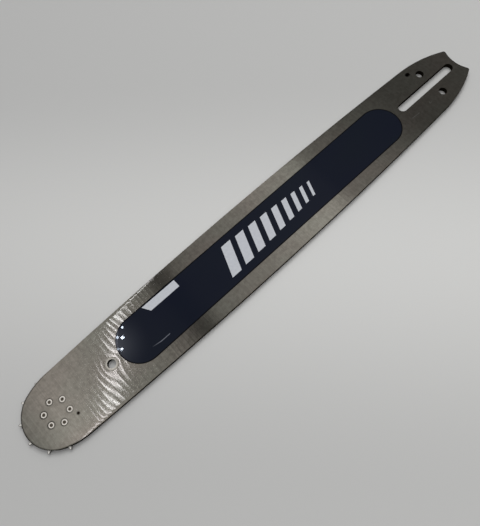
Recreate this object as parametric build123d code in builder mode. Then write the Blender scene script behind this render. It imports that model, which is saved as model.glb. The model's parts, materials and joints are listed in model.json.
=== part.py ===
from build123d import *
import os
from math import cos, degrees, pi, radians, sin, sqrt

# Chainsaw guide bar with a roller-bearing sprocket nose, lying flat on one of its faces.
# A solid steel bar carries the chain in a groove round its edge. At the nose the groove opens
# into a pocket, where a toothed sprocket runs on loose rollers round a race that six rivets hold.
# Origin: middle of the stud slot on the lower face. +X points to the nose, +Z up. Millimetres.

# Chain that runs on the bar
chain_pitch = 9.525
tooth_count = 11
rivet_line_height = 4.17  # the chain's rivets run this far outside the rails
groove_width = 1.6
groove_depth = 9.2

# Bar blank
bar_thickness = 4.7
nose_distance = 470.0  # stud slot to sprocket centre
belly_distance = 240.0  # stud slot to the widest place
shoulder_radius = 60.0  # arc that leads from the nose arc to the long edge
shoulder_flare = 2.1  # the long edge stands this far outside the nose arc
belly_rise = 4.9  # from the long edge at the sprocket centre to the widest place
tail_fall = 5.2  # from the widest place to the start of the tail's taper
taper_start = 4.0  # stud slot to the start of the taper, towards the nose
taper_radius = 135.0
tail_wall = 5.9  # steel between the stud slot and the hollow tail end
tail_hollow_radius = 33.0
tail_corner_radius = 2.2

# Holes in the bar
slot_length = 83.0
slot_width = 9.4
adjuster_diameter = 8.4
adjuster_setback = 8.7  # behind the middle of the stud slot
adjuster_spacing = 30.6
oil_diameter = 3.0
oil_advance = 1.4  # ahead of the middle of the stud slot
oil_floor_gap = 0.2  # from the side of the oil hole to the floor of the chain groove
hang_diameter = 7.8
hang_setback = 56.8  # behind the sprocket centre
grease_diameter = 2.4
grease_angle = 134.4  # from the nose direction, counter-clockwise from above

# Nose bearing
tooth_stand_out = 2.8  # tooth tips stand out of the nose rails
tooth_tip_width = 1.1
first_tooth_angle = 8.6
gullet_radius = 3.6
sprocket_rim = 2.4  # from the sprocket's bore to the bottom of a gullet
pocket_clearance = 1.0  # round the tooth tips
side_clearance = 0.1  # each side of the sprocket and the rollers
race_radius = 15.87
roller_count = 27
roller_gap = 0.16  # between neighbouring rollers
running_clearance = 0.03  # rollers to race and to sprocket, on the radius

# Nose rivets
rivet_count = 6
rivet_circle_radius = 10.66
first_rivet_angle = 30.0
rivet_radius = 2.55
rivet_set_in = 0.05  # the ends lie this far below the faces
rivet_clearance = 0.02

# Label film
label_width = 44.0
label_thickness = 0.12
label_front_gap = 9.7  # from the hang hole's centre
label_rear_gap = 7.7  # from the front end of the stud slot

# Sizes that follow from those above
pitch_radius = chain_pitch / (2 * sin(pi / (2 * tooth_count)))
nose_radius = pitch_radius - rivet_line_height
nose_half_width = nose_radius + shoulder_flare
belly_half_width = nose_half_width + belly_rise
tail_half_width = belly_half_width - tail_fall
tail_end = -slot_length / 2 - tail_wall
groove_floor = (bar_thickness - groove_width) / 2
hang_x = nose_distance - hang_setback
tip_radius = nose_radius + tooth_stand_out
pocket_radius = tip_radius + pocket_clearance
whole_bar = 2 * (nose_distance + pocket_radius)  # a square this wide round the origin covers the bar
sprocket_thickness = groove_width - 2 * side_clearance
running_floor = groove_floor + side_clearance
half_step = sin(pi / roller_count)
roller_track = race_radius + running_clearance
roller_diameter = (2 * roller_track * half_step - roller_gap) / (1 - half_step)
roller_orbit = roller_track + roller_diameter / 2
sprocket_bore = roller_track + roller_diameter + running_clearance
rivet_hole_radius = rivet_radius + rivet_clearance


def level_arc_radius(run, fall):
    """Radius of an arc that starts level and has fallen by `fall` after `run`."""
    return (run**2 + fall**2) / (2 * fall)


def circle_crossings(center_a, radius_a, center_b, radius_b):
    """The two points where two circles cross: first the one to the left of the way from a to b."""
    way = center_b - center_a
    along = (way.length**2 + radius_a**2 - radius_b**2) / (2 * way.length)
    across = sqrt(radius_a**2 - along**2)
    foot = center_a + way.normalized() * along
    left = Vector(-way.Y, way.X).normalized() * across
    return foot + left, foot - left


def polar_point(radius, angle):
    return Vector(radius * cos(angle), radius * sin(angle))


# Centres of the arcs that make the bar's edge, on the +Y side
front_edge_radius = level_arc_radius(nose_distance - belly_distance, belly_rise)
rear_edge_radius = level_arc_radius(belly_distance - taper_start, tail_fall)
nose_center = Vector(nose_distance, 0)
front_edge_center = Vector(belly_distance, belly_half_width - front_edge_radius)
rear_edge_center = Vector(belly_distance, belly_half_width - rear_edge_radius)
shoulder_center = circle_crossings(
    nose_center,
    shoulder_radius - nose_radius,
    front_edge_center,
    front_edge_radius - shoulder_radius,
)[1]
taper_top = Vector(taper_start, tail_half_width)
taper_normal = (taper_top - rear_edge_center).normalized()
taper_center = taper_top - taper_normal * taper_radius
hollow_center = Vector(tail_end - tail_hollow_radius, 0)


def tail_corner(inset):
    """Where the tapering edge, moved in by `inset`, meets the hollow tail end."""
    return circle_crossings(hollow_center, tail_hollow_radius, taper_center, taper_radius - inset)[0]


def rear_half_width(x):
    """From the centre line to the bar's edge at `x`, anywhere behind the widest place."""
    if x < taper_start:
        return taper_center.Y + sqrt(taper_radius**2 - (x - taper_center.X) ** 2)
    return rear_edge_center.Y + sqrt(rear_edge_radius**2 - (x - rear_edge_center.X) ** 2)


def bar_outline(inset):
    """The bar's edge as a closed run of tangent arcs, moved in by `inset` all along but the tail end."""
    corner = tail_corner(inset)
    taper_point = taper_top - taper_normal * inset
    belly_point = Vector(belly_distance, belly_half_width - inset)
    shoulder_way = (shoulder_center - front_edge_center).normalized()
    shoulder_point = shoulder_center + shoulder_way * (shoulder_radius - inset)
    nose_way = (nose_center - shoulder_center).normalized()
    nose_point = nose_center + nose_way * (nose_radius - inset)
    nose_tip = nose_center + Vector(nose_radius - inset, 0)
    RadiusArc((tail_end, 0), corner, -tail_hollow_radius)
    RadiusArc(corner, taper_point, taper_radius - inset)
    RadiusArc(taper_point, belly_point, rear_edge_radius - inset)
    RadiusArc(belly_point, shoulder_point, front_edge_radius - inset)
    RadiusArc(shoulder_point, nose_point, shoulder_radius - inset)
    RadiusArc(nose_point, nose_tip, nose_radius - inset)
    mirror(about=Plane.XZ)


# Bar body: milled plate with the chain groove, the nose pocket and its holes
oil_from_edge = groove_depth - oil_floor_gap - oil_diameter / 2
oil_from_center = rear_half_width(oil_advance) - oil_from_edge
with BuildPart() as bar_body:
    with BuildSketch():
        with BuildLine():
            bar_outline(0)
        make_face()
        fillet(vertices().group_by(Axis.X)[0], radius=tail_corner_radius)
    extrude(amount=bar_thickness)
    with BuildSketch(Plane.XY.offset(groove_floor)):
        Rectangle(whole_bar, whole_bar)
        with BuildLine():
            bar_outline(groove_depth)
        make_face(mode=Mode.SUBTRACT)
        with Locations(nose_center):
            Circle(pocket_radius)
    extrude(amount=groove_width, mode=Mode.SUBTRACT)
    with BuildSketch():
        SlotOverall(slot_length, slot_width)
        with Locations((-adjuster_setback, 0)):
            with GridLocations(0, adjuster_spacing, 1, 2):
                Circle(adjuster_diameter / 2)
        with Locations((hang_x, 0)):
            Circle(hang_diameter / 2)
        with Locations(nose_center + polar_point(roller_orbit, radians(grease_angle))):
            Circle(grease_diameter / 2)
        with Locations(nose_center):
            with PolarLocations(rivet_circle_radius, rivet_count, first_rivet_angle):
                Circle(rivet_hole_radius)
    extrude(amount=bar_thickness, mode=Mode.SUBTRACT)
    with BuildSketch(Plane.XY.offset(bar_thickness)):
        with Locations((oil_advance, -oil_from_center)):
            Circle(oil_diameter / 2)
    extrude(amount=-bar_thickness / 2, mode=Mode.SUBTRACT)
    with BuildSketch():
        with Locations((oil_advance, oil_from_center)):
            Circle(oil_diameter / 2)
    extrude(amount=bar_thickness / 2, mode=Mode.SUBTRACT)
bar_body.part.label = "bar_body"

# Nose sprocket: the gaps between the teeth are cut from a disc, each a round gullet with two flanks
half_tooth_angle = pi / tooth_count
gullet_root = Vector(sprocket_bore + sprocket_rim, 0)
gullet_center = gullet_root + Vector(gullet_radius, 0)
tip_corner = polar_point(tip_radius, half_tooth_angle - tooth_tip_width / (2 * tip_radius))
outer_corner = tip_corner * (pocket_radius / tip_corner.X)
flank_length = sqrt((tip_corner - gullet_center).length ** 2 - gullet_radius**2)
flank_foot = circle_crossings(tip_corner, flank_length, gullet_center, gullet_radius)[1]
with BuildSketch() as tooth_gap:
    with BuildLine():
        RadiusArc(gullet_root, flank_foot, gullet_radius)
        Polyline(flank_foot, tip_corner, outer_corner, (outer_corner.X, 0))
        mirror(about=Plane.XZ)
    make_face()

with BuildPart() as nose_sprocket:
    with BuildSketch(Plane.XY.offset(running_floor)):
        with Locations(nose_center):
            Circle(tip_radius)
            with PolarLocations(0, tooth_count, first_tooth_angle + degrees(half_tooth_angle)):
                add(tooth_gap.sketch, mode=Mode.SUBTRACT)
            Circle(sprocket_bore, mode=Mode.SUBTRACT)
    extrude(amount=sprocket_thickness)
nose_sprocket.part.label = "nose_sprocket"

# Bearing race: disc clamped between the cheeks of the nose
with BuildPart() as bearing_race:
    with BuildSketch(Plane.XY.offset(groove_floor)):
        with Locations(nose_center):
            Circle(race_radius)
            with PolarLocations(rivet_circle_radius, rivet_count, first_rivet_angle):
                Circle(rivet_hole_radius, mode=Mode.SUBTRACT)
    extrude(amount=groove_width)
bearing_race.part.label = "bearing_race"

# Nose rivets: flush pins through both cheeks and the race
with BuildPart() as nose_rivets:
    with BuildSketch(Plane.XY.offset(rivet_set_in)):
        with Locations(nose_center):
            with PolarLocations(rivet_circle_radius, rivet_count, first_rivet_angle):
                Circle(rivet_radius)
    extrude(amount=bar_thickness - 2 * rivet_set_in)
nose_rivets.part.label = "nose_rivets"

# Label film: round-ended panel on the upper face, between the stud slot and the hang hole
label_rear = slot_length / 2 + label_rear_gap
label_front = hang_x - label_front_gap
with BuildPart() as label_panel:
    with BuildSketch(Plane.XY.offset(bar_thickness)):
        with Locations(((label_rear + label_front) / 2, 0)):
            SlotOverall(label_front - label_rear, label_width)
    extrude(amount=label_thickness)
label_panel.part.label = "label_panel"

os.makedirs("parts", exist_ok=True)
export_step(bar_body.part, "parts/bar_body.step")
export_step(nose_sprocket.part, "parts/nose_sprocket.step")
export_step(bearing_race.part, "parts/bearing_race.step")
export_step(nose_rivets.part, "parts/nose_rivets.step")
export_step(label_panel.part, "parts/label_panel.step")

# Rollers: a full ring of loose rollers between the race and the sprocket
roller_step = 2 * pi / roller_count
for number in range(1, roller_count + 1):
    with BuildPart() as roller:
        with BuildSketch(Plane.XY.offset(running_floor)):
            with Locations(nose_center + polar_point(roller_orbit, number * roller_step)):
                Circle(roller_diameter / 2)
        extrude(amount=sprocket_thickness)
    roller.part.label = f"roller_{number:02d}"
    export_step(roller.part, f"parts/roller_{number:02d}.step")
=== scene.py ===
import json
from math import cos, pi, radians

import bmesh
import bpy
import numpy as np
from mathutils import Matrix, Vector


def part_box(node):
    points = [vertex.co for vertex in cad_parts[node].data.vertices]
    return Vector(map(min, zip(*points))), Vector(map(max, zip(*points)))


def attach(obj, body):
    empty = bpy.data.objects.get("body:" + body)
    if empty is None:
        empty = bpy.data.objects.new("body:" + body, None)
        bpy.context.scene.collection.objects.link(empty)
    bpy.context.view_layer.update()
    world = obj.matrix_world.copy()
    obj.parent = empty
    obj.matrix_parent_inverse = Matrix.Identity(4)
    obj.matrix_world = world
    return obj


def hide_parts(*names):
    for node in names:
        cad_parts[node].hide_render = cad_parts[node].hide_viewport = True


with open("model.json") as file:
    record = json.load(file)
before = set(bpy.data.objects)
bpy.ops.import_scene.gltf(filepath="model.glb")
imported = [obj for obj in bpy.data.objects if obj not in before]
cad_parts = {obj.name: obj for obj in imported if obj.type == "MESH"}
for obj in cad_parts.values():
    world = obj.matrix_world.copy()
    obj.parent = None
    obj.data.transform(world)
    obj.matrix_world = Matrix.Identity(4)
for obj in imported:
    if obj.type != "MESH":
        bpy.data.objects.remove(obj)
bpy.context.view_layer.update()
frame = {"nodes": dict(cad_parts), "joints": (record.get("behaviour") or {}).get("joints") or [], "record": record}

mm = 0.001

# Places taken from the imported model
mounts = {mount["name"]: mount for mount in frame["record"]["mounts"]}
nose_joint = next(joint for joint in frame["joints"] if joint["name"] == "sprocket_spin")
nose_center = np.array(nose_joint["pos_m"])
hang_center = np.array(mounts["hang_hole"]["pos_m"])
hang_radius = mounts["hang_hole"]["dims"]["r_mm"] * mm
label_low, label_high = (np.array(corner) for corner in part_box("label_panel"))
bar_low, bar_high = (np.array(corner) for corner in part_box("bar_body"))
rivet_low, rivet_high = (np.array(corner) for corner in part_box("nose_rivets"))
bar_top = bar_high[2]

# Values that several materials and pieces use
noise_range = (0.3, 0.7)  # most values of a noise lie between these
wall_range = (0.3, 0.7)  # rise of a face's normal, from a wall to a level face
edge_range = (0.6, 0.95)  # inner occlusion at an edge and away from it
in_plan = (1, 1, 0)  # times a place, drops its height
same_point = 0.0001 * mm  # points of a mesh that lie nearer than this become one


def linear(hex_colour):
    """Linear RGBA of an sRGB hex colour."""
    srgb = np.array([int(hex_colour[i : i + 2], 16) / 255 for i in (0, 2, 4)])
    rgb = np.where(srgb <= 0.04045, srgb / 12.92, ((srgb + 0.055) / 1.055) ** 2.4)
    return (*rgb.tolist(), 1.0)


def add(tree, kind, inputs=(), **settings):
    """Adds a node, sets its properties, and fills its inputs with values, other nodes or their sockets."""
    node = tree.nodes.new(kind)
    for name, value in settings.items():
        setattr(node, name, value)
    for key, value in dict(inputs).items():
        active = [socket for socket in node.inputs if socket.enabled]
        socket = active[key] if isinstance(key, int) else next(s for s in active if s.name == key)
        if isinstance(value, bpy.types.Node):
            value = next(s for s in value.outputs if s.enabled)
        if isinstance(value, bpy.types.NodeSocket):
            tree.links.new(value, socket)
        else:
            socket.default_value = value
    return node


def new_material(name):
    """An empty node material, its tree and its texture coordinates."""
    material = bpy.data.materials.new(name)
    material.use_nodes = True
    tree = material.node_tree
    tree.nodes.clear()
    return material, tree, add(tree, "ShaderNodeTexCoord")


def finished(material, tree, inputs):
    """Joins a material's values in one shader and gives the material back."""
    shader = add(tree, "ShaderNodeBsdfPrincipled", inputs)
    add(tree, "ShaderNodeOutputMaterial", {"Surface": shader})
    return material


def clouds(tree, coords, size, detail=2.0):
    """Soft clouds that measure `size` metres, or so much along X, Y and Z."""
    scale = tuple(1 / np.broadcast_to(size, 3))
    scaled = add(tree, "ShaderNodeMapping", {"Vector": coords, "Scale": scale})
    return add(tree, "ShaderNodeTexNoise", {"Vector": scaled, "Scale": 1.0, "Detail": detail})


def span(value, ends, new_ends=(0.0, 1.0)):
    """Inputs of a Map Range node that takes a value from between `ends` to between `new_ends`."""
    return {
        "Value": value,
        "From Min": ends[0],
        "From Max": ends[1],
        "To Min": new_ends[0],
        "To Max": new_ends[1],
    }


def line_gap(tree, coords, start, end):
    """Distance in plan from the nearest point of the run between two points, all in metres."""
    way = np.array([*end, 0.0]) - np.array([*start, 0.0])
    part_way = tuple(way / np.dot(way, way))
    flat = add(tree, "ShaderNodeVectorMath", {0: coords, 1: in_plan}, operation="MULTIPLY")
    offset = add(tree, "ShaderNodeVectorMath", {0: flat, 1: (*start, 0)}, operation="SUBTRACT")
    share = add(tree, "ShaderNodeVectorMath", {0: offset, 1: part_way}, operation="DOT_PRODUCT")
    held = add(tree, "ShaderNodeMapRange", span(share.outputs["Value"], (0.0, 1.0)))
    nearest = add(tree, "ShaderNodeVectorMath", {0: tuple(way), "Scale": held}, operation="SCALE")
    gap = add(tree, "ShaderNodeVectorMath", {0: offset, 1: nearest}, operation="DISTANCE")
    return gap.outputs["Value"]


def scratch(tree, coords, points, half_width):
    """A line of 1 on 0 along the runs between points of the upper face, given in metres."""
    marks = []
    for start, end in zip(points[:-1], points[1:]):
        gap = line_gap(tree, coords, start, end)
        marks.append(add(tree, "ShaderNodeMapRange", span(gap, (0.0, half_width), (1.0, 0.0))))
    joined = marks[0]
    for mark in marks[1:]:
        joined = add(tree, "ShaderNodeMath", {0: joined, 1: mark}, operation="MAXIMUM")
    return joined


def facing(tree, place):
    """How far a face's normal rises, the same without its sign, and 1 on walls and 0 on level faces."""
    rise = add(tree, "ShaderNodeSeparateXYZ", {0: place.outputs["Normal"]}).outputs["Z"]
    level = add(tree, "ShaderNodeMath", {0: rise}, operation="ABSOLUTE")
    wall = add(tree, "ShaderNodeMapRange", span(level, wall_range, (1.0, 0.0)))
    return rise, level, wall


def near_edge(tree, reach, share=1.0):
    """The share at an edge, which falls to 0 inwards within about `reach` metres."""
    settings = {"inside": True, "only_local": True, "samples": 8}
    inside = add(tree, "ShaderNodeAmbientOcclusion", {"Distance": reach}, **settings)
    return add(tree, "ShaderNodeMapRange", span(inside.outputs["AO"], edge_range, (share, 0.0)))


def mesh_piece(name, points, faces, materials, body, slot, face_material=0, smooth=False):
    """A mesh object at the origin from arrays of points in metres and faces, riding on a body.

    Points that coincide, as at a pole, become one.
    """
    mesh = bpy.data.meshes.new(name)
    mesh.from_pydata(points.tolist(), [], faces.tolist())
    count = len(mesh.polygons)
    mesh.polygons.foreach_set("use_smooth", np.full(count, smooth))
    mesh.polygons.foreach_set("material_index", np.full(count, face_material, dtype=np.int32))
    for material in materials:
        mesh.materials.append(material)
    form = bmesh.new()
    form.from_mesh(mesh)
    bmesh.ops.remove_doubles(form, verts=form.verts, dist=same_point)
    form.to_mesh(mesh)
    form.free()
    piece = bpy.data.objects.new(name, mesh)
    bpy.context.scene.collection.objects.link(piece)
    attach(piece, body)
    return piece


# Ground steel: a belt grinder that crossed the bar from edge to edge leaves warm grey steel with fine lines
# across it, and near the nose a slow chatter that breaks lamp reflections into streaks.
# Painted shade darkens the nose's edges, the cut walls and a rim round the oiling hole.
grind_line = (0.9 * mm, 45 * mm, 9 * mm)  # drawn coarser than the real 0.1 mm lines, so that they show
line_height = 0.006 * mm
line_share = (0.0, 0.4)  # how far the lines darken the steel, least and most
patch_size = (60 * mm, 40 * mm, 40 * mm)  # patches of a slightly warmer and a slightly cooler grey
patch_range = (0.35, 0.65)
mottle_size = 3 * mm
mottle_range = (0.35, 0.7)
mottle_share = (0.0, 0.42)
ground_roughness = (0.055, 0.075)
matt_roughness = 0.5  # of walls and of the hang hole's rim
edge_reach = 1.5 * mm  # less than a cheek of the nose is thick
edge_shade_share = 0.95  # how far the painted shade darkens the edges
nose_shade_span = (445 * mm, 475 * mm)  # the edges get painted shade from the first place on, and fully from the second
oil_hole_shade_run = [(0.6 * mm, -23.6 * mm), (1.8 * mm, -23.6 * mm)]  # painted shade darkens the rim of the oiling hole along this
oil_hole_shade_fade = (1.7 * mm, 2.7 * mm)  # and the painted shade ends between these distances from it
tail_scratches = [
    [(39.8 * mm, 15.3 * mm), (29.8 * mm, 15.9 * mm)],
    [(11.8 * mm, 13.7 * mm), (12.9 * mm, 15.9 * mm), (10.5 * mm, 15.9 * mm)],
]
tail_scratch_half_width = 0.5 * mm
tail_scratch_share = 0.8

# Relief of the ground steel
wave_pitch = 4.4 * mm
wave_slope = 0.0138
wave_wander = 2.4 * mm  # the waves stray so far along the bar
wander_size = (20 * mm, 60 * mm, 60 * mm)
wander_range = (0.2, 0.8)
wave_grows = np.array([345, 365]) * mm  # the chatter grows between these places from its first share
wave_first_share = 0.1
wave_settles = np.array([450, 474]) * mm  # and settles between these to its last share
wave_last_share = 0.2
uneven_size = (9 * mm, 30 * mm, 30 * mm)
uneven_shares = np.array([0.6, 1.3])  # of its height, in the faint and the strong places
dish_radius = 1.45 * hang_radius  # the waves part round the punched hole from here
rim_reach = 1.6 * hang_radius
lip_slope = 0.45  # the hole's rim is drawn in by the punch
belly_x = 240 * mm  # the bar is widest here
edge_fall = 4.9 * mm  # and each long edge comes in by this much at edge_way from there
edge_way = 230 * mm
edge_bow = edge_fall / edge_way**2
roll_reach = 3 * mm  # the belt rounds the face off towards the long edges
roll_slope = 0.055


def chatter(tree, coords):
    """Height in metres of scallops across the bar that part round the hang hole as a stream round a post.

    It is slope * pitch * t^2, with t from -1/2 to 1/2 over each pitch of s = x (1 - a^2 / r^2) plus a slow
    wander, x and r measured from the hole and a the dished radius. So the slope runs evenly from one side to
    the other. Gives r too.
    """
    offset = add(tree, "ShaderNodeVectorMath", {0: coords, 1: tuple(hang_center)}, operation="SUBTRACT")
    plan = add(tree, "ShaderNodeVectorMath", {0: offset, 1: in_plan}, operation="MULTIPLY")
    radius = add(tree, "ShaderNodeVectorMath", {0: plan}, operation="LENGTH").outputs["Value"]
    ratio = add(tree, "ShaderNodeMath", {0: dish_radius, 1: radius}, operation="DIVIDE", use_clamp=True)
    pull = add(tree, "ShaderNodeMath", {0: ratio, 1: 2.0}, operation="POWER")
    spread = add(tree, "ShaderNodeMath", {0: 1.0, 1: pull}, operation="SUBTRACT")
    along = add(tree, "ShaderNodeSeparateXYZ", {0: offset}).outputs["X"]
    drift = clouds(tree, coords, wander_size, detail=1.0)
    wander = add(tree, "ShaderNodeMapRange", span(drift, wander_range, (-wave_wander, wave_wander)))
    phase = add(tree, "ShaderNodeMath", {0: along, 1: spread, 2: wander}, operation="MULTIPLY_ADD")
    pitches = add(tree, "ShaderNodeMath", {0: phase, 1: wave_pitch}, operation="DIVIDE")
    share = add(tree, "ShaderNodeMath", {0: pitches}, operation="FRACT")
    side = add(tree, "ShaderNodeMath", {0: share, 1: 0.5}, operation="SUBTRACT")
    scallop = add(tree, "ShaderNodeMath", {0: side, 1: side}, operation="MULTIPLY")

    # Uneven height, less before the chatter has grown and after it has settled
    growing, settling = (places - hang_center[0] for places in (wave_grows, wave_settles))
    growth = add(tree, "ShaderNodeMapRange", span(along, growing, (wave_first_share, 1.0)))
    calm = add(tree, "ShaderNodeMapRange", span(along, settling, (1.0, wave_last_share)))
    strength = clouds(tree, coords, uneven_size, detail=1.0)
    heights = uneven_shares * (wave_slope * wave_pitch)
    uneven = add(tree, "ShaderNodeMapRange", span(strength, noise_range, heights))
    grown = add(tree, "ShaderNodeMath", {0: growth, 1: calm}, operation="MULTIPLY")
    height = add(tree, "ShaderNodeMath", {0: grown, 1: uneven}, operation="MULTIPLY")
    return add(tree, "ShaderNodeMath", {0: scallop, 1: height}, operation="MULTIPLY"), radius


def edge_roll(tree, coords):
    """Height in metres of the face, which falls by slope * reach / 2 * (1 - gap / reach)^2 at its edges.

    The gap is that to the long edge, whose distance from the centre line is its widest less
    bow * (x - belly)^2.
    """
    along, across, _ = add(tree, "ShaderNodeSeparateXYZ", {0: coords}).outputs
    aside = add(tree, "ShaderNodeMath", {0: across}, operation="ABSOLUTE")
    from_belly = add(tree, "ShaderNodeMath", {0: along, 1: belly_x}, operation="SUBTRACT")
    square = add(tree, "ShaderNodeMath", {0: from_belly, 1: from_belly}, operation="MULTIPLY")
    outwards = add(tree, "ShaderNodeMath", {0: square, 1: edge_bow, 2: aside}, operation="MULTIPLY_ADD")
    rolled = add(tree, "ShaderNodeMapRange", span(outwards, (bar_high[1] - roll_reach, bar_high[1])))
    deep = add(tree, "ShaderNodeMath", {0: rolled, 1: rolled}, operation="MULTIPLY")
    return add(tree, "ShaderNodeMath", {0: deep, 1: -roll_slope * roll_reach / 2}, operation="MULTIPLY")


def ground_steel():
    """Steel of the bar: its ground tone, then painted shade, then the hang hole's rim and the relief."""
    material, tree, place = new_material("ground_steel")
    coords = place.outputs["Object"]
    lines = clouds(tree, coords, grind_line, detail=3.0)
    patches = add(tree, "ShaderNodeMapRange", span(clouds(tree, coords, patch_size), patch_range))
    warm = {"Factor": patches, "A": linear("c8bfb4"), "B": linear("c5c4b7")}
    colour = add(tree, "ShaderNodeMix", warm, data_type="RGBA")
    scores = add(tree, "ShaderNodeMapRange", span(lines, noise_range, line_share))
    scored = {"Factor": scores, "A": colour, "B": linear("a69f95")}
    colour = add(tree, "ShaderNodeMix", scored, data_type="RGBA")
    spots = clouds(tree, coords, mottle_size, detail=3.0)
    mottle = add(tree, "ShaderNodeMapRange", span(spots, mottle_range, mottle_share))
    mottled = {"Factor": mottle, "A": colour, "B": linear("8f887e")}
    colour = add(tree, "ShaderNodeMix", mottled, data_type="RGBA")
    for points in tail_scratches:
        mark = scratch(tree, coords, points, tail_scratch_half_width)
        faint = add(tree, "ShaderNodeMath", {0: mark, 1: tail_scratch_share}, operation="MULTIPLY")
        scratched = {"Factor": faint, "A": colour, "B": linear("f2f0ea")}
        colour = add(tree, "ShaderNodeMix", scratched, data_type="RGBA")

    # Painted shade on the nose's edges, on cut walls, and on a rim round the oiling hole on the upper face
    rise, level, wall = facing(tree, place)
    along = add(tree, "ShaderNodeSeparateXYZ", {0: coords}).outputs["X"]
    at_nose = add(tree, "ShaderNodeMapRange", span(along, nose_shade_span))
    edge_shade = near_edge(tree, edge_reach, edge_shade_share)
    nose_edge_shade = add(tree, "ShaderNodeMath", {0: edge_shade, 1: at_nose}, operation="MULTIPLY")
    oil_hole_gap = line_gap(tree, coords, *oil_hole_shade_run)
    oil_hole_shade = add(tree, "ShaderNodeMapRange", span(oil_hole_gap, oil_hole_shade_fade, (1.0, 0.0)))
    oil_hole_shade_top = add(tree, "ShaderNodeMath", {0: rise, 1: oil_hole_shade}, operation="MULTIPLY", use_clamp=True)
    # Painted shade: walls turn near black, as do the shaded nose edges and the rim round the oiling hole
    dark = add(tree, "ShaderNodeMath", {0: nose_edge_shade, 1: wall}, operation="MAXIMUM")
    dark = add(tree, "ShaderNodeMath", {0: dark, 1: oil_hole_shade_top}, operation="MAXIMUM")
    painted_shade_mix = {"Factor": dark, "A": colour, "B": linear("25211c")}
    colour = add(tree, "ShaderNodeMix", painted_shade_mix, data_type="RGBA")

    # Matt rim of the hang hole, pale partly as a painted highlight of its drawn lip
    scallops, hang_gap = chatter(tree, coords)
    rim = add(tree, "ShaderNodeMapRange", span(hang_gap, (hang_radius, rim_reach), (1.0, 0.0)))
    bright = add(tree, "ShaderNodeMath", {0: rim, 1: level}, operation="MULTIPLY")
    rim_highlight_mix = {"Factor": bright, "A": colour, "B": linear("d5d1c9")}
    matt = add(tree, "ShaderNodeMath", {0: wall, 1: rim}, operation="MAXIMUM")
    gloss = add(tree, "ShaderNodeMapRange", span(lines, noise_range, ground_roughness))
    dull = {"Factor": matt, "A": gloss, "B": matt_roughness}

    drawn = add(tree, "ShaderNodeMath", {0: rim, 1: rim}, operation="MULTIPLY")
    lip_height = -lip_slope * (rim_reach - hang_radius) / 2
    lip = add(tree, "ShaderNodeMath", {0: drawn, 1: lip_height, 2: scallops}, operation="MULTIPLY_ADD")
    relief = add(tree, "ShaderNodeMath", {0: lip, 1: edge_roll(tree, coords)}, operation="ADD")
    waves = add(tree, "ShaderNodeBump", {"Height": relief, "Distance": 1.0})
    inputs = {
        "Base Color": add(tree, "ShaderNodeMix", rim_highlight_mix, data_type="RGBA"),
        "Metallic": add(tree, "ShaderNodeMath", {0: 1.0, 1: matt}, operation="SUBTRACT"),
        "Specular IOR Level": 0.0,
        "Roughness": add(tree, "ShaderNodeMix", dull, data_type="FLOAT"),
        "Anisotropic": 0.4,
        "Normal": add(tree, "ShaderNodeBump", {"Height": lines, "Distance": line_height, "Normal": waves}),
        "Tangent": add(tree, "ShaderNodeTangent", direction_type="RADIAL", axis="Y"),
    }
    return finished(material, tree, inputs)


# Grains of the small steel pieces, drawn coarser than the real ones so that they show, and their oily films
tumbled_grain = 0.6 * mm
tumbled_height = 0.01 * mm
# reach of the painted shade at the sprocket's edges
sprocket_shade_reach = 0.6 * mm
grease_film = 3 * mm
grease_thin = (0.4, 0.7)  # the film is thick up to the first value of its clouds, thinnest from the second
peened_grain = 0.5 * mm
peened_height = 0.02 * mm
dimple_patch_size = 1.2 * mm


def tumbled_steel():
    """Hardened sprocket steel, tumbled after stamping: pale, with an even satin grain, and painted shade that
    darkens its edges and walls.
    """
    material, tree, place = new_material("tumbled_sprocket_steel")
    grain = clouds(tree, place.outputs["Object"], tumbled_grain, detail=3.0)
    pale = {"Factor": grain, "A": linear("e9e6df"), "B": linear("fcfaf5")}
    colour = add(tree, "ShaderNodeMix", pale, data_type="RGBA")
    # Painted shade: near black at the edges and on the walls
    wall = facing(tree, place)[2]
    dark = add(tree, "ShaderNodeMath", {0: near_edge(tree, sprocket_shade_reach), 1: wall}, operation="MAXIMUM")
    painted_shade_mix = {"Factor": dark, "A": colour, "B": linear("3a3630")}
    inputs = {
        "Base Color": add(tree, "ShaderNodeMix", painted_shade_mix, data_type="RGBA"),
        "Metallic": 0.2,
        "Roughness": add(tree, "ShaderNodeMapRange", span(grain, noise_range, (0.4, 0.55))),
        "Normal": add(tree, "ShaderNodeBump", {"Height": grain, "Distance": tumbled_height}),
    }
    return finished(material, tree, inputs)


def greased_steel():
    """Lapped bearing steel packed with grease: a brown film with a wet gloss, and steel where it is thin."""
    material, tree, place = new_material("greased_bearing_steel")
    film = clouds(tree, place.outputs["Object"], grease_film)
    greased = {"Factor": film, "A": linear("1c1812"), "B": linear("3a3227")}
    inputs = {
        "Base Color": add(tree, "ShaderNodeMix", greased, data_type="RGBA"),
        "Metallic": add(tree, "ShaderNodeMapRange", span(film, grease_thin, (0.0, 0.3))),
        "Specular IOR Level": 0.1,
        "Roughness": add(tree, "ShaderNodeMapRange", span(film, noise_range, (0.15, 0.3))),
    }
    return finished(material, tree, inputs)


def peened_steel():
    """Soft steel rivet ends, pressed flat: pale burnished rings with a fine hammered grain."""
    material, tree, place = new_material("peened_rivet_steel")
    grain = clouds(tree, place.outputs["Object"], peened_grain)
    pale = {"Factor": grain, "A": linear("ebe4d9"), "B": linear("fdf8f0")}
    inputs = {
        "Base Color": add(tree, "ShaderNodeMix", pale, data_type="RGBA"),
        "Metallic": 0.2,
        "Roughness": add(tree, "ShaderNodeMapRange", span(grain, noise_range, (0.42, 0.55))),
        "Normal": add(tree, "ShaderNodeBump", {"Height": grain, "Distance": peened_height}),
    }
    return finished(material, tree, inputs)


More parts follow.
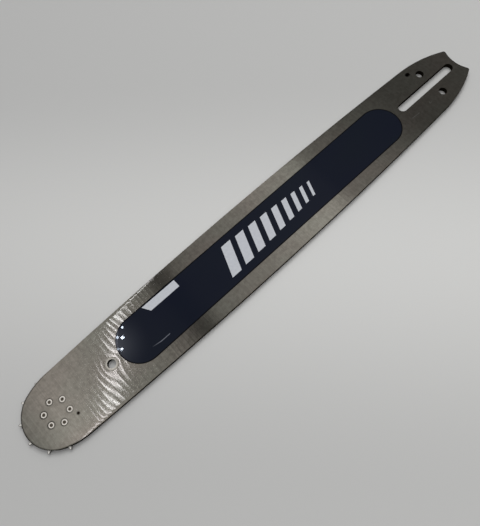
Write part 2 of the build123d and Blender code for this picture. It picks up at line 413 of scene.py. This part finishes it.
def dimple_steel():
    """The punched middle of a rivet end: dull steel, darker than the ring round it as painted shade of the recess.
    """
    material, tree, place = new_material("oily_dimple_steel")
    dimple_patches = clouds(tree, place.outputs["Object"], dimple_patch_size)
    dull = {"Factor": dimple_patches, "A": linear("615a4f"), "B": linear("877e71")}
    inputs = {
        "Base Color": add(tree, "ShaderNodeMix", dull, data_type="RGBA"),
        "Metallic": 1.0,
        "Roughness": add(tree, "ShaderNodeMapRange", span(dimple_patches, noise_range, (0.35, 0.5))),
    }
    return finished(material, tree, inputs)


# Label film and its ink
label_tint = (70 * mm, 30 * mm, 30 * mm)
label_peel = 4 * mm
label_peel_height = 0.001 * mm
label_round = (label_high[1] - label_low[1]) / 2
label_ends = [(label_low[0] + label_round, 0.0), (label_high[0] - label_round, 0.0)]
label_border = (label_round - 1.3 * mm, label_round - 0.6 * mm)  # the cut edge's black grows between these
label_scratch = [(378.5 * mm, 12.9 * mm), (370.6 * mm, 14.2 * mm), (360.8 * mm, 14.3 * mm)]
label_scratch_half_width = 0.45 * mm
label_scratch_share = (0.06, 0.5)  # at its front end, and from its bend on
# Painted reflection: a pale haze of ceiling light on the film's front end
glow_center = (403 * mm, -10 * mm, 0.0)
glow_reach = 33 * mm
glow_root = 0.52  # square root of the painted reflection's share at its middle
ink_cover = 2.5 * mm


def label_film():
    """Gloss vinyl film, dark navy: nearly black, with a clean reflection of the lamps, a blacker cut edge,
    one pale scratch, and a pale haze at the front end that is a painted reflection of the lit ceiling."""
    material, tree, place = new_material("gloss_navy_vinyl")
    coords = place.outputs["Object"]
    tint = clouds(tree, coords, label_tint, detail=1.0)
    navy = {"Factor": tint, "A": linear("191c2a"), "B": linear("1a1f28")}
    colour = add(tree, "ShaderNodeMix", navy, data_type="RGBA")
    flat = add(tree, "ShaderNodeVectorMath", {0: coords, 1: in_plan}, operation="MULTIPLY")
    glow_gap = add(tree, "ShaderNodeVectorMath", {0: flat, 1: glow_center}, operation="DISTANCE")
    glow_span = span(glow_gap.outputs["Value"], (0.0, glow_reach), (glow_root, 0.0))
    near = add(tree, "ShaderNodeMapRange", glow_span)
    painted_glow = add(tree, "ShaderNodeMath", {0: near, 1: near}, operation="MULTIPLY")
    glowing = {"Factor": painted_glow, "A": colour, "B": linear("8b8e97")}
    colour = add(tree, "ShaderNodeMix", glowing, data_type="RGBA")
    border = add(tree, "ShaderNodeMapRange", span(line_gap(tree, coords, *label_ends), label_border))
    cut = {"Factor": border, "A": colour, "B": linear("08090b")}
    colour = add(tree, "ShaderNodeMix", cut, data_type="RGBA")
    mark = scratch(tree, coords, label_scratch, label_scratch_half_width)
    along = add(tree, "ShaderNodeSeparateXYZ", {0: coords}).outputs["X"]
    front_to_bend = (label_scratch[0][0], label_scratch[1][0])
    fade = add(tree, "ShaderNodeMapRange", span(along, front_to_bend, label_scratch_share))
    faint = add(tree, "ShaderNodeMath", {0: mark, 1: fade}, operation="MULTIPLY")
    scratched = {"Factor": faint, "A": colour, "B": linear("b6bac6")}
    peel = clouds(tree, coords, label_peel, detail=1.0)
    inputs = {
        "Base Color": add(tree, "ShaderNodeMix", scratched, data_type="RGBA"),
        "Roughness": 0.015,
        "IOR": 1.46,
        "Specular IOR Level": 0.15,
        "Normal": add(tree, "ShaderNodeBump", {"Height": peel, "Distance": label_peel_height}),
    }
    return finished(material, tree, inputs)


def screen_ink():
    """White screen ink on the film: satin, a little uneven where the film shows through."""
    material, tree, place = new_material("white_screen_ink")
    cover = clouds(tree, place.outputs["Object"], ink_cover)
    white = {"Factor": cover, "A": linear("c3c7cf"), "B": linear("d6d9df")}
    inputs = {
        "Base Color": add(tree, "ShaderNodeMix", white, data_type="RGBA"),
        "Roughness": add(tree, "ShaderNodeMapRange", span(cover, noise_range, (0.3, 0.42))),
        "IOR": 1.48,
    }
    return finished(material, tree, inputs)


# Painted pool of light on the board: an oval, in metres
pool_center = (0.19, 0.07, 0)
pool_turn = (0, 0, radians(135.4))
pool_reach = (1.08, 0.2, 1)
pool_depth = 0.67  # share of the way from the lighter to the darker grey, from its middle to its end
pool_slope = (0.38, -0.48, 0)  # painted shade: the board grows darker this way, by so much a metre


def pale_board():
    """Board under the bar: pale grey with a painted pool of light, lightest in a long oval across the bar and
    darker round it.
    """
    material, tree, place = new_material("pale_board")
    coords = place.outputs["Object"]
    oval = {"Vector": coords, "Location": pool_center, "Rotation": pool_turn, "Scale": pool_reach}
    reach = add(tree, "ShaderNodeMapping", oval, vector_type="TEXTURE")
    away = add(tree, "ShaderNodeVectorMath", {0: reach}, operation="LENGTH").outputs["Value"]
    fall = add(tree, "ShaderNodeMapRange", span(away, (0.0, 1.0)), interpolation_type="SMOOTHSTEP")
    slope = add(tree, "ShaderNodeVectorMath", {0: coords, 1: pool_slope}, operation="DOT_PRODUCT")
    slanted = {0: fall, 1: pool_depth, 2: slope.outputs["Value"]}
    shade = add(tree, "ShaderNodeMath", slanted, operation="MULTIPLY_ADD")
    grey = {"Factor": shade, "A": linear("e5e5e3"), "B": linear("c4c4c3")}
    inputs = {
        "Base Color": add(tree, "ShaderNodeMix", grey, data_type="RGBA"),
        "Roughness": 0.6,
        "Specular IOR Level": 0.2,
    }
    return finished(material, tree, inputs)


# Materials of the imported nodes
node_material = {
    "bar_body": ground_steel(),
    "nose_sprocket": tumbled_steel(),
    "label_panel": label_film(),
}
inner_steel = greased_steel()
for name, node in frame["nodes"].items():
    node.data.materials.clear()
    node.data.materials.append(node_material.get(name, inner_steel))

# Nose rivets: pins whose ends are pressed into a flat ring round a punched dimple, with a rounded rim
rivet_count = 6
rivet_facets = 40
first_rivet_angle = radians(30)
rivet_spread = (rivet_high - rivet_low) / 2  # circle radius + pin radius along Y, less along X
rivet_circle = (rivet_spread[1] - rivet_spread[0]) / (1 - cos(first_rivet_angle))
rivet_end_profile = np.array([  # distance from the pin's axis and height over the bar's face, in mm
    (0.0, -0.3),
    (0.3, -0.33),
    (0.5, -0.55),
    (0.9, -0.6),
    (1.15, -0.5),
    (1.4, -0.08),
    (1.54, 0.0),
    (2.15, 0.0),
    (2.32, -0.06),
    (2.44, -0.2),
    (2.53, -0.55),
]) * mm
dimple_rings = 5  # steps of the profile from the middle that belong to the dimple


def rivet_pins():
    """Points, faces and dimple faces of the pins.

    Each pin is its end profile and the mirrored lower one, turned round the pin's axis in equal steps.
    """
    upper = rivet_end_profile + (0, bar_top)
    lower = (rivet_end_profile * (1, -1) + (0, bar_low[2]))[::-1]
    profile = np.vstack([upper, lower])
    turn = np.arange(rivet_facets) * 2 * pi / rivet_facets
    pin = np.empty((len(profile), rivet_facets, 3))
    pin[..., :2] = profile[:, None, :1] * np.stack([np.cos(turn), np.sin(turn)], axis=1)
    pin[..., 2] = profile[:, 1:]
    row, step = np.meshgrid(np.arange(len(profile) - 1), np.arange(rivet_facets), indexing="ij")
    corner = row * rivet_facets + step
    beside = row * rivet_facets + (step + 1) % rivet_facets
    quads = np.stack([corner, corner + rivet_facets, beside + rivet_facets, beside], axis=-1).reshape(-1, 4)
    in_dimple = (row < dimple_rings) | (row >= len(profile) - 1 - dimple_rings)
    angles = first_rivet_angle + np.arange(rivet_count) * 2 * pi / rivet_count
    centers = np.stack([np.cos(angles), np.sin(angles), 0 * angles], axis=1) * rivet_circle
    centers[:, :2] += nose_center[:2]
    points = (centers[:, None, :] + pin.reshape(1, -1, 3)).reshape(-1, 3)
    faces = (np.arange(rivet_count)[:, None, None] * pin[..., 0].size + quads).reshape(-1, 4)
    return points, faces, np.tile(in_dimple.ravel(), rivet_count)


pin_points, pin_faces, pin_dimples = rivet_pins()
pins = mesh_piece(
    "rivet_pins",
    pin_points,
    pin_faces,
    [peened_steel(), dimple_steel()],
    "bar",
    "rivet_steel",
    face_material=pin_dimples,
    smooth=True,
)
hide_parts("nose_rivets")

# Label print: plain slanted bars that grow smaller along the label, and a blank tag with a slanted end
ink_thickness = 0.03 * mm
stripe_count = 9
stripe_start = 281 * mm
stripe_gap = 6 * mm
stripe_slant = 0.42  # the bars lean forward by this times the distance from the centre line
first_width = 11 * mm
narrowing = 1 * mm  # from each bar to the next
first_half_height = 14.5 * mm
shortening = 0.9 * mm  # of the half height, from each bar to the next
tag_outline = np.array([(364.1, -20.4), (359.4, -12.6), (326.9, -12.6), (326.9, -20.4)]) * mm


def slanted_bars():
    """Four corners of each bar: its front and its rear, at plus and minus its half height.

    A bar's front lies one gap behind the rear of the bar before it.
    """
    number = np.arange(stripe_count)
    width = first_width - narrowing * number
    half = first_half_height - shortening * number
    front = stripe_start - np.concatenate([[0], np.cumsum(width + stripe_gap)[:-1]])
    lean = half * stripe_slant
    corners = [
        (front + lean, half),
        (front - width + lean, half),
        (front - width - lean, -half),
        (front - lean, -half),
    ]
    return np.moveaxis(np.array(corners), 2, 0)


def flat_prints(outlines):
    """Thin slabs of ink: each four-cornered outline in metres, once on the film and once higher."""
    count = len(outlines)
    low = np.concatenate([outlines, np.full((count, 4, 1), label_high[2])], axis=2)
    slabs = np.concatenate([low, low + (0, 0, ink_thickness)], axis=1)
    sides = np.array([(4, 5, 6, 7), (3, 2, 1, 0), (0, 1, 5, 4), (1, 2, 6, 5), (2, 3, 7, 6), (3, 0, 4, 7)])
    faces = np.arange(count)[:, None, None] * slabs.shape[1] + sides
    return slabs.reshape(-1, 3), faces.reshape(-1, 4)


ink = screen_ink()
mesh_piece("label_bars", *flat_prints(slanted_bars()), [ink], "bar", "label_film")
mesh_piece("label_tag", *flat_prints(tag_outline[None]), [ink], "bar", "label_film")

# Floor, a hair below the bar
floor_half = 3.0
floor_gap = 0.05 * mm
floor_mesh = bpy.data.meshes.new("floor")
floor_corners = np.array([(-1, -1), (1, -1), (1, 1), (-1, 1)]) * floor_half
floor_points = np.column_stack([floor_corners, np.full(4, bar_low[2] - floor_gap)])
floor_mesh.from_pydata(floor_points.tolist(), [], [(0, 1, 2, 3)])
floor_mesh.materials.append(pale_board())
floor = bpy.data.objects.new("floor", floor_mesh)
bpy.context.scene.collection.objects.link(floor)

# Camera: hand-held above the bar's nose half, as a 480 x 526 picture with a 480 pixel focal length
image_height = 526
focal_pixels = 480
camera_place = np.array([370.7, 126.5, 410.6]) * mm
camera_turn = (20.632, 1.325, 136.760)
camera_data = bpy.data.cameras.new("camera")
camera_data.sensor_width = 36.0
camera_data.lens = focal_pixels * camera_data.sensor_width / image_height
camera_data.clip_start = 10 * mm
camera = bpy.data.objects.new("camera", camera_data)
camera.location = camera_place
camera.rotation_euler = [radians(angle) for angle in camera_turn]
bpy.context.scene.collection.objects.link(camera)
bpy.context.scene.camera = camera
camera_height = camera_place[2] - bar_top


def area_lamp(name, place, aim, size, radiance, colour=(1, 1, 1)):
    """A square lamp that shines from its place towards aim, as bright as `radiance` all over its face."""
    data = bpy.data.lights.new(name, "AREA")
    data.color = colour
    data.size = size
    data.energy = radiance * pi * size**2
    lamp = bpy.data.objects.new(name, data)
    lamp.location = place
    way = np.array(aim) - np.array(place)
    lamp.rotation_euler = (
        np.arctan2(np.hypot(way[0], way[1]), -way[2]),
        0.0,
        np.arctan2(way[1], way[0]) - pi / 2,
    )
    bpy.context.scene.collection.objects.link(lamp)
    return lamp


# Soft key high above the tail, which only lights and shades, in metres from the middle of the bar
bar_middle = (bar_low + bar_high) / 2
key_offset = (-1.44, -1.53, 2.8)
key_size = 1.7
key_radiance = 3.2
key = area_lamp("key", bar_middle + key_offset, bar_middle, key_size, key_radiance)
key.visible_glossy = False

# Bare bulbs that the label alone mirrors. Each hangs where its mirror image falls on a named spot of it.
bulb_height = 1.5
bulb_lean = 0.1 * mm  # each aims so far beside the point below it, so that all are turned the same way
cool_white = (0.88, 0.99, 1.16)
bulbs = [  # spot of the label in mm, width of the bulb in mm, radiance
    ((387.2, -18.4), 8.0, 110.0),
    ((392.6, -11.4), 12.0, 130.0),
    ((399.3, -3.8), 10.0, 120.0),
    ((395.7, -14.4), 10.0, 60.0),
    ((401.4, -6.0), 9.0, 32.0),
]
bulbs_light = bpy.data.collections.new("bulbs_light")
bulbs_light.objects.link(frame["nodes"]["label_panel"])
for number, (spot, width, radiance) in enumerate(bulbs):
    glint = np.array(spot) * mm
    x, y = glint + (glint - camera_place[:2]) * bulb_height / camera_height
    hung = (x, y, bar_top + bulb_height)
    below = (x, y + bulb_lean, 0)
    bulb = area_lamp(f"bulb_{number}", hung, below, width * mm, radiance, cool_white)
    bulb.light_linking.receiver_collection = bulbs_light

# World: shiny surfaces mirror a grey room, lighter overhead and on the far side. The part of its ceiling
# that the bar mirrors to the camera is named by the place of the bar that mirrors it. It has bands across
# the bar: dark over the tail, bright over the middle and the nose, with a dark beam between these two, and
# mostly darker towards the far side. A straight strip light crosses the ceiling over the nose. Matt
# surfaces are lit by a plain soft sky from overhead instead, and past the floor the camera sees plain grey.
wall_light = 0.039
overhead_light = 0.82
sky_light = 1.48
sky_focus = 3.0  # how closely the soft light comes from overhead
backdrop = (0.5, 0.5, 0.5, 1)
brightest_way = (-0.212, -0.225, 0.951)  # up, and leaning to the far side and the tail
ceiling = np.array([  # place along the bar in mm, light on the far side, light on the near side
    (-500, 0.8, 0.8),
    (-200, 0.09, 0.09),
    (38, 0.07, 0.07),
    (110, 0.14, 0.2),
    (150, 0.18, 0.225),
    (162, 0.36, 0.42),
    (190, 0.38, 0.49),
    (245, 0.275, 0.335),
    (318, 0.175, 0.213),
    (330, 0.069, 0.071),
    (341, 0.049, 0.052),
    (350, 0.19, 0.165),
    (364, 0.27, 0.22),
    (420, 0.375, 0.34),
    (468, 0.43, 0.58),
    (505, 0.235, 0.21),
])
margin = 29 * mm  # the two sides are named for lines so far from the bar's centre line
bands_end = (110 * mm, 220 * mm)  # the bands fade out between these distances from it
strip_ends = [(342.7 * mm, -77 * mm), (477.8 * mm, 79 * mm)]
strip_half_width = 1.3 * mm
strip_fade = (0.6 * strip_half_width, 1.4 * strip_half_width)
strip_light = (4.25, 4.4, 5.0, 1)
least_rise = 0.001  # of a mirrored ray, so that nothing is divided by zero


def mirrored_place(tree, towards):
    """Place of the bar that mirrors a direction of the room to the camera.

    The camera's ray falls as steeply as the mirrored one rises, so the place is the point below the camera
    plus the direction times camera height / rise.
    """
    height = add(tree, "ShaderNodeSeparateXYZ", {0: towards}).outputs["Z"]
    rise = add(tree, "ShaderNodeMath", {0: height, 1: least_rise}, operation="MAXIMUM")
    steps = add(tree, "ShaderNodeMath", {0: camera_height, 1: rise}, operation="DIVIDE")
    reached = add(tree, "ShaderNodeVectorMath", {0: towards, "Scale": steps}, operation="SCALE")
    camera_foot = (*camera_place[:2], 0)
    return add(tree, "ShaderNodeVectorMath", {0: reached, 1: camera_foot}, operation="ADD")


def with_bands(tree, plain, mirrored_at):
    """The room's plain light, with the ceiling's bands in it over the bar."""
    along, across, _ = add(tree, "ShaderNodeSeparateXYZ", {0: mirrored_at}).outputs
    places = ceiling[:, 0] * mm
    first, last = places[0], places[-1]
    length_share = add(tree, "ShaderNodeMapRange", span(along, (first, last)))
    sides = []
    for lights in ceiling[:, 1:].T:
        bands = add(tree, "ShaderNodeValToRGB", {0: length_share})
        stops = bands.color_ramp.elements
        while len(stops) < len(ceiling):
            stops.new(1.0)
        for stop, place, light in zip(stops, places, lights):
            stop.position = (place - first) / (last - first)
            stop.color = (light, light, light, 1)
        sides.append(bands)
    far, near = sides
    nearness = add(tree, "ShaderNodeMapRange", span(across, (-margin, margin)))
    banded = add(tree, "ShaderNodeMix", {"Factor": nearness, "A": far, "B": near}, data_type="RGBA")
    aside = add(tree, "ShaderNodeMath", {0: across}, operation="ABSOLUTE")
    fade = span(aside, bands_end, (1.0, 0.0))
    over_bar = add(tree, "ShaderNodeMapRange", fade, interpolation_type="SMOOTHSTEP")
    return add(tree, "ShaderNodeMix", {"Factor": over_bar, "A": plain, "B": banded}, data_type="RGBA")


def light_room():
    """The world: a room with bands and a strip light for shiny surfaces, and a soft sky for matt ones.

    With u the upward part of a direction, the room's plain light is wall + (overhead - wall) * u, and
    the sky is wall + (sky - wall) * u^focus.
    """
    room = bpy.data.worlds.new("room")
    room.use_nodes = True
    tree = room.node_tree
    tree.nodes.clear()
    towards = add(tree, "ShaderNodeTexCoord").outputs["Generated"]
    leaning = {0: towards, 1: brightest_way}
    upwards = add(tree, "ShaderNodeVectorMath", leaning, operation="DOT_PRODUCT").outputs["Value"]

    mirrored_at = mirrored_place(tree, towards)
    plain = add(tree, "ShaderNodeMapRange", span(upwards, (0.0, 1.0), (wall_light, overhead_light)))
    banded = with_bands(tree, plain, mirrored_at)
    strip_gap = line_gap(tree, mirrored_at, *strip_ends)
    in_strip = span(strip_gap, strip_fade, (1.0, 0.0))
    strip = add(tree, "ShaderNodeMapRange", in_strip, interpolation_type="SMOOTHSTEP")
    mirrored = add(tree, "ShaderNodeMix", {"Factor": strip, "A": banded, "B": strip_light}, data_type="RGBA")

    above = add(tree, "ShaderNodeMath", {0: upwards, 1: 0.0}, operation="MAXIMUM")
    focused = add(tree, "ShaderNodeMath", {0: above, 1: sky_focus}, operation="POWER")
    sky = add(tree, "ShaderNodeMapRange", span(focused, (0.0, 1.0), (wall_light, sky_light)))

    ray = add(tree, "ShaderNodeLightPath").outputs
    for_gloss = {"Factor": ray["Is Glossy Ray"], "A": sky, "B": mirrored}
    light = add(tree, "ShaderNodeMix", for_gloss, data_type="RGBA")
    for_camera = {"Factor": ray["Is Camera Ray"], "A": light, "B": backdrop}
    shown = add(tree, "ShaderNodeMix", for_camera, data_type="RGBA")
    background = add(tree, "ShaderNodeBackground", {"Color": shown})
    add(tree, "ShaderNodeOutputWorld", {"Surface": background})
    return room


bpy.context.scene.world = light_room()
bpy.context.scene.view_settings.view_transform = "Standard"
